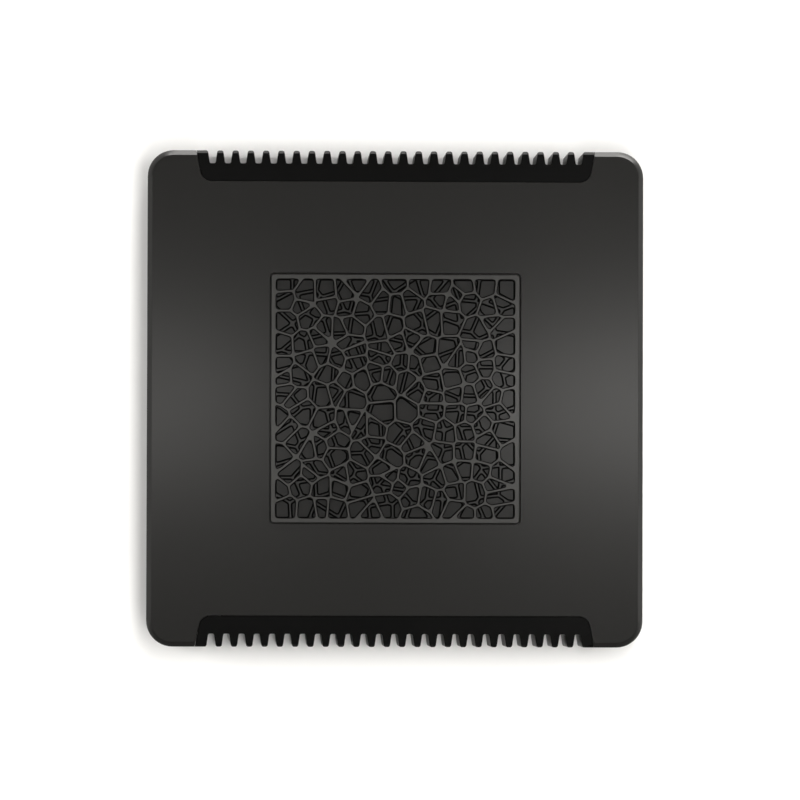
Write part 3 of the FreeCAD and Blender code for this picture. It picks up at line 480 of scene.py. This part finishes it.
def seed_points(seed):
    """Centres of a net's cells: a shaken grid that leaves room round the large cells."""
    dice = random.Random(seed)
    pitch = 2 * net_half / cells_across
    shake = 0.46
    points = list(large_cells)
    for row in range(cells_across):
        for column in range(cells_across):
            x = (column + 0.5 + dice.uniform(-shake, shake)) * pitch - net_half
            y = (row + 0.5 + dice.uniform(-shake, shake)) * pitch - net_half
            if all(math.dist((x, y), large) > pitch for large in large_cells):
                points.append((x, y))
    return points


def net_cells(points, half, rib):
    """Seed point and outline of each opening, in a net with ribs of one width. Seeds that
    are further apart than the reach share no rib."""
    reach = half / 2
    cells = []
    for x, y in points:
        cell = [(-half, -half), (half, -half), (half, half), (-half, half)]
        for other_x, other_y in points:
            gap = math.hypot(other_x - x, other_y - y)
            if 0 < gap < reach:
                normal = ((other_x - x) / gap, (other_y - y) / gap)
                middle = normal[0] * (x + other_x) / 2 + normal[1] * (y + other_y) / 2
                cell = clipped(cell, normal, middle - rib / 2)
        if len(cell) > 2:
            cells.append(((x, y), cell))
    return cells


def thinned(cell, least):
    """The outline without corners that crowd the corner before them."""
    result = []
    for corner in cell:
        if not result or math.dist(corner, result[-1]) > least:
            result.append(corner)
    while len(result) > 2 and math.dist(result[0], result[-1]) <= least:
        result.pop()
    return result


def rounded(corners, radius, steps):
    """The outline with each corner replaced by a short curve, as large as its sides allow."""
    points = []
    count = len(corners)
    for index in range(count):
        corner = Vector(corners[index])
        before = Vector(corners[index - 1]) - corner
        after = Vector(corners[(index + 1) % count]) - corner
        half_angle = before.angle(after) / 2
        longest = 0.47 * min(before.length, after.length)
        reach = min(radius / math.tan(half_angle), longest)
        start = corner + before.normalized() * reach
        end = corner + after.normalized() * reach
        for step in range(steps + 1):
            t = step / steps
            points.append(start * (1 - t) ** 2 + corner * 2 * t * (1 - t) + end * t ** 2)
    return points


def widened(outline, distance):
    """The outline moved outwards, point by point, along its own normals."""
    points = []
    count = len(outline)
    for index in range(count):
        along = outline[(index + 1) % count] - outline[index - 1]
        points.append(outline[index] + Vector((along.y, -along.x)).normalized() * distance)
    return points


def ring(builder, outline, z):
    """New vertices along an outline, all at one height."""
    return [builder.verts.new((x, y, z)) for x, y in outline]


def bridge(builder, lower, upper):
    """Band of faces between two rings of equal length, both anticlockwise from above."""
    count = len(lower)
    for index in range(count):
        after = (index + 1) % count
        builder.faces.new((lower[index], lower[after], upper[after], upper[index]))


def flat_face(builder, rings, facing_up):
    """Flat face inside the first ring and outside the others."""
    outlines = [[vertex.co for vertex in points] for points in rings]
    flat = [vertex for points in rings for vertex in points]
    for triangle in tessellate_polygon(outlines):
        face = [flat[index] for index in triangle]
        a, b, c = (vertex.co for vertex in face)
        if ((b - a).cross(c - a).z > 0) != facing_up:
            face.reverse()
        builder.faces.new(face)


def opening_rings(outline, heights, edge):
    """Outline and height of each step down an opening's wall: a soft top edge, a wall that
    leans inwards, and where the net has a floor, a cove at its foot."""
    underside, floor, top = heights
    centre = sum(outline, Vector((0, 0))) / len(outline)
    room = min((point - centre).length for point in outline)
    lean = min(0.32 * mm, 0.3 * room)
    eased = 0.3 * edge
    steps = [(edge, top), (eased, top - eased), (0, top - edge)]
    if floor == underside:
        steps += [(-lean, floor)]
    else:
        lean = lean / 2
        cove = min(0.5 * mm, 0.4 * room)
        cove_height = 0.4 * mm
        steps += [(-lean, floor + cove_height), (-lean - 0.3 * cove, floor + cove_height / 2),
                  (-lean - cove, floor)]
    return [(widened(outline, out), z) for out, z in steps]


def net_moulding(name, points, rib, hole_radius, heights, edge):
    """Square plate between its heights, with a net of ribs above its floor, or right through
    where the floor is at its underside."""
    underside, floor, top = heights
    reach = net_half + frame_width / 2
    builder = bmesh.new()
    rims = []
    open_cells = dict(net_cells(points, net_half, rib))
    for seed, cell in net_cells(points, reach, 0):
        region = [Vector(corner) * mm for corner in cell]
        rims += region
        upper = ring(builder, region, top)
        lower = ring(builder, region, underside)
        hole = thinned(open_cells.get(seed, []), rib / 2)
        if len(hole) < 3:
            flat_face(builder, [upper], True)
            if floor == underside:
                flat_face(builder, [lower], False)
            continue
        outline = [point * mm for point in rounded(hole, hole_radius, steps=3)]
        rings = [ring(builder, *step) for step in opening_rings(outline, heights, edge)]
        flat_face(builder, [upper, rings[0]], True)
        for higher, deeper in zip(rings, rings[1:]):
            bridge(builder, higher, deeper)
        if floor == underside:
            flat_face(builder, [lower, rings[-1]], False)
        else:
            flat_face(builder, [rings[-1]], True)
    slack = 0.01
    rims = [point for point in rims if max(abs(point.x), abs(point.y)) > (reach - slack) * mm]
    close_square(builder, around_square(rims), heights, edge)
    bmesh.ops.remove_doubles(builder, verts=builder.verts, dist=merge_gap)
    loose = [vertex for vertex in builder.verts if not vertex.link_faces]
    bmesh.ops.delete(builder, geom=loose, context="VERTS")
    mesh = bpy.data.meshes.new(name)
    builder.to_mesh(mesh)
    builder.free()
    return mesh


def close_square(builder, rims, heights, edge):
    """The plain border round the net: top, sides with a soft edge, and underside."""
    underside, floor, top = heights
    half = insert_side / 2
    square = [(-half, -half), (half, -half), (half, half), (-half, half)]
    outer = [point * mm for point in rounded(square, insert_rounding, steps=6)]
    steps = [(outer, underside), (outer, top - edge), (widened(outer, -edge), top)]
    sides = [ring(builder, outline, z) for outline, z in steps]
    for lower, upper in zip(sides, sides[1:]):
        bridge(builder, lower, upper)
    flat_face(builder, [sides[-1], ring(builder, rims, top)], True)
    if floor == underside:
        flat_face(builder, [sides[0], ring(builder, rims, underside)], False)
    else:
        flat_face(builder, [sides[0]], False)


def around_square(points):
    """Points on a square's edges, in anticlockwise order with repeats dropped."""
    ordered = []
    for point in sorted(points, key=lambda place: math.atan2(place.y, place.x)):
        if not ordered or (point - ordered[-1]).length > merge_gap:
            ordered.append(point)
    return ordered


def new_piece(mesh, material):
    """A piece with its mesh's name, in one material."""
    mesh.materials.append(material)
    piece = bpy.data.objects.new(mesh.name, mesh)
    scene.collection.objects.link(piece)
    return piece


def lattice_finish(name, top_colour, shaded_floor_colour, shade_line_z):
    """Satin black plastic with painted shade: darker below a height, near-black on its rib sides.
    """
    material, paint = start_finish(name)
    nearly_level = 0.93
    level_face = facing(paint, 2) > nearly_level
    # Faces below the shade line take the darker colour: painted shade in the net's hollows.
    raised = measured(paint, 2) > shade_line_z
    flow = noise(paint, 14, 3)
    fine = noise(paint, 3200, 2)
    polished = paint.add("BsdfPrincipled", {}, {
        "Base Color": tone(paint, raised * (flow * 0.2 + 0.9), shaded_floor_colour, top_colour),
        "Roughness": 0.3 + sway(flow, 0.05) + sway(fine, 0.06),
        "Normal": relief(paint, fine, 0.000002)})
    # Near-black matt shader on faces that are not level: painted shade on the rib walls.
    dull = paint.add("BsdfPrincipled", {}, {"Base Color": (0.0008, 0.0008, 0.0008, 1),
                                            "Roughness": 0.8, "Specular IOR Level": 0.12})
    mixed = paint.add("MixShader", {}, {0: level_face, 1: dull, 2: polished})
    paint.add("OutputMaterial", {}, {"Surface": mixed})
    return material


grille_mesh = net_moulding(
    "lattice_web", seed_points(seed=11), rib=0.85, hole_radius=1.5,
    heights=(grille_low.z, grille_low.z, grille_high.z), edge=0.08 * mm)
# The web's second colour, a little darker, falls only on its underside: painted shade.
grille = new_piece(grille_mesh, lattice_finish("lattice_web_satin", (0.027, 0.0267, 0.0257),
                                               (0.0259, 0.0256, 0.0247), grille_low.z))
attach(grille, "housing")
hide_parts("lattice_grille")
plate_mesh = net_moulding(
    "lattice_plate", seed_points(seed=3), rib=0.65, hole_radius=1.3,
    heights=(plate_low.z, plate_floor, plate_high.z), edge=0.06 * mm)
# The plate is painted darker below this height, over its cell floors and coves: painted shade.
plate_shade_line = plate_floor + 0.5 * mm
backplate = new_piece(plate_mesh, lattice_finish("lattice_plate_satin", (0.0145, 0.0145, 0.014),
                                                 (0.0085, 0.0084, 0.0081), plate_shade_line))
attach(backplate, "housing")
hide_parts("lattice_backplate")

dress(rubbery("tape_foam", (0.3, 0.29, 0.25), 0.8), "insert_adhesive", edge=0)

# ------------------------------------------------------------------ studio
# A pale floor, a dim surround and soft lights, with a camera that looks almost straight down.
# Two small lights above are mirrored in the lid, a low one brightens the rear bevel, and a
# black card, seen only in reflections, keeps the front bevel dark.


def floor_paint():
    """Pale matt floor with barely any mottling."""
    material, paint = start_finish("pale_floor")
    cloud = noise(paint, 2, 2)
    close_finish(paint, Base_Color=tone(paint, cloud, (0.88, 0.88, 0.88), (0.9, 0.9, 0.9)),
                 Roughness=0.9, Specular_IOR_Level=0.1)
    return material


def one_face(name, corners):
    """Mesh of a single four-sided face."""
    mesh = bpy.data.meshes.new(name)
    mesh.from_pydata(corners, [], [(0, 1, 2, 3)])
    return mesh


floor_half = 3
floor_mesh = one_face("floor", [(-floor_half, -floor_half, 0), (floor_half, -floor_half, 0),
                                (floor_half, floor_half, 0), (-floor_half, floor_half, 0)])
new_piece(floor_mesh, floor_paint())


def black_card():
    """Matt black card with a faint nap."""
    material, paint = start_finish("black_card")
    cloud = noise(paint, 40, 2)
    close_finish(paint, Base_Color=tone(paint, cloud, (0.004, 0.004, 0.004), (0.006, 0.006, 0.006)),
                 Roughness=0.9, Specular_IOR_Level=0.05)
    return material


card_half = 0.5
card_top = 0.16
card_y = cad_box[0][1] - 0.1
card_mesh = one_face("front_card", [(-card_half, card_y, 0), (card_half, card_y, 0),
                                    (card_half, card_y, card_top), (-card_half, card_y, card_top)])
card = new_piece(card_mesh, black_card())
card.visible_camera = False
card.visible_diffuse = False
card.visible_shadow = False

surround = bpy.data.worlds.new("surround")
surround.use_nodes = True
background = surround.node_tree.nodes["Background"]
background.inputs["Color"].default_value = (1, 1, 1, 1)
background.inputs["Strength"].default_value = 0.07
scene.world = surround


def soft_light(name, place, aim, size, power, mirrored=True):
    """Rectangular soft light that faces its aim and stays out of the picture, and out of
    reflections too unless it is mirrored."""
    lamp = bpy.data.lights.new(name, "AREA")
    lamp.shape = "RECTANGLE"
    lamp.size, lamp.size_y = size
    lamp.energy = power
    lamp.color = (1, 0.985, 0.955)
    holder = bpy.data.objects.new(name, lamp)
    holder.location = place
    holder.rotation_euler = (Vector(aim) - Vector(place)).to_track_quat("-Z", "Y").to_euler()
    holder.visible_camera = False
    holder.visible_glossy = mirrored
    scene.collection.objects.link(holder)


soft_light("left_glow", place=(-0.134, 0.0036, 0.3), aim=(-0.134, 0.0036, 0),
           size=(0.16, 0.05), power=0.087)
soft_light("right_glow", place=(0.15, 0.0036, 0.3), aim=(0.15, 0.0036, 0),
           size=(0.18, 0.05), power=0.14)
soft_light("rear_horizon", place=(0.35, 1.3, 0.1), aim=(0, 0, 0.03), size=(1.6, 0.2), power=18)
soft_light("overhead", place=(0.08, -0.07, 1.2), aim=(0.08, -0.07, 0), size=(0.2, 0.6),
           power=10, mirrored=False)
for name, place, size, power in (("right_bank", (1.0, 0.1, 1.0), (0.5, 0.7), 6),
                                 ("left_bank", (-1.0, 0.1, 1.0), (0.5, 0.7), 8),
                                 ("rear_bank", (0.1, 1.1, 1.0), (0.7, 0.5), 4),
                                 ("front_bank", (0.1, -0.9, 1.3), (0.7, 0.5), 5)):
    soft_light(name, place, (0, 0, 0), size, power, mirrored=False)

camera_place = Vector((-0.0686, -0.0605, 2.5))
camera_aim = Vector((0.0019, -0.0005, 0.038))
camera_roll = math.radians(-0.16)
camera = bpy.data.cameras.new("camera")
camera.sensor_width = 36
camera.lens = 275.2
camera_holder = bpy.data.objects.new("camera", camera)
back = (camera_place - camera_aim).normalized()
up = Vector((math.sin(camera_roll), math.cos(camera_roll), 0))
right = up.cross(back).normalized()
turn = Matrix((right, back.cross(right), back)).transposed().to_4x4()
camera_holder.matrix_world = Matrix.Translation(camera_place) @ turn
scene.collection.objects.link(camera_holder)
scene.camera = camera_holder
scene.view_settings.view_transform = "Standard"
